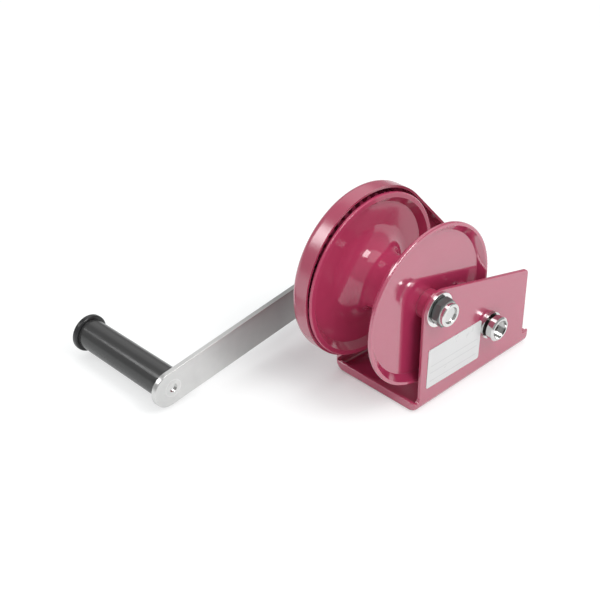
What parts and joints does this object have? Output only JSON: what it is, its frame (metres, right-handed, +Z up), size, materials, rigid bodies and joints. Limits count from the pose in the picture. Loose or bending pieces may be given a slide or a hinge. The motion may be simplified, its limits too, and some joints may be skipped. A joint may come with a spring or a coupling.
{
  "type": "brake winch",
  "caption": "Hand-cranked brake winch: bent steel frame with a rope drum, drum gear and pinion, load-pressure brake with ratchet and pawl, and a flat crank with a turning grip.",
  "frame": {"origin": "middle of the base's underside, which is also the middle of its four bolt holes", "axes": "+X along the drum axis, out of the near side plate; +Y back along the base; +Z up"},
  "size_m": [0.3399, 0.3729, 0.2137],
  "materials": {
    "gloss_paint": "gloss enamel",
    "plated_steel": "satin zinc plate",
    "bright_steel": "bright zinc plate",
    "hardened_steel": "hardened, oiled",
    "bronze": "sintered bronze",
    "friction_lining": "moulded lining",
    "grip_plastic": "moulded, satin",
    "cap_plastic": "moulded, glossy",
    "white_plate": "printed film, bare"
  },
  "bodies": {
    "frame": {"frame": "gloss_paint", "gear_guard": "gloss_paint", "rating_plate": "white_plate", "drum_axle": "bright_steel", "axle_washers": "bright_steel", "axle_locknut": "bright_steel", "axle_sleeve": "plated_steel", "near_spacer": "gloss_paint", "thrust_washer": "plated_steel", "near_shaft_bush": "bronze", "far_shaft_bush": "bronze", "pawl_pin": "bright_steel", "pawl_ring": "bright_steel"},
    "drum": {"drum_core": "gloss_paint", "drum_bushes": "bronze", "near_flange": "gloss_paint", "far_flange": "gloss_paint", "rope_clamp": "plated_steel", "clamp_screws": "bright_steel", "drum_gear": "gloss_paint", "gear_screws": "bright_steel"},
    "drive": {"drive_shaft": "bright_steel", "shaft_ring": "bright_steel", "pressure_disc": "plated_steel", "drive_key": "bright_steel", "inner_friction_disc": "friction_lining", "stop_washer": "bright_steel", "stop_nut": "bright_steel"},
    "ratchet": {"ratchet_wheel": "hardened_steel"},
    "pawl": {"pawl": "hardened_steel"},
    "crank": {"crank_hub": "plated_steel", "crank_arm": "plated_steel", "outer_friction_disc": "friction_lining", "handle_spindle": "bright_steel", "spindle_ring": "bright_steel"},
    "grip": {"grip": "grip_plastic", "grip_cap": "cap_plastic"}
  },
  "joints": [
    {"name": "drum_spin", "type": "hinge", "parent": "frame", "child": "drum", "pos_m": [0, -0.0663, 0.1185], "axis": [1, 0, 0], "continuous": true},
    {"name": "drive_spin", "type": "hinge", "parent": "frame", "child": "drive", "pos_m": [0, 0.01973, 0.0583], "axis": [1, 0, 0], "continuous": true},
    {"name": "ratchet_spin", "type": "hinge", "parent": "frame", "child": "ratchet", "pos_m": [-0.0738, 0.01973, 0.0583], "axis": [1, 0, 0], "continuous": true},
    {"name": "pawl_lift", "type": "hinge", "parent": "frame", "child": "pawl", "pos_m": [-0.0738, 0.04162, 0.11844], "axis": [-1, 0, 0], "range_deg": [0, 25]},
    {"name": "crank_release", "type": "hinge", "parent": "drive", "child": "crank", "pos_m": [-0.1, 0.01973, 0.0583], "axis": [1, 0, 0], "range_deg": [-60, 0]},
    {"name": "grip_spin", "type": "hinge", "parent": "crank", "child": "grip", "pos_m": [-0.195, -0.25646, 0.02488], "axis": [1, 0, 0], "continuous": true}
  ],
  "couplings": [
    {"joint": "drive_spin", "follows": "drum_spin", "ratio": -4}
  ]
}
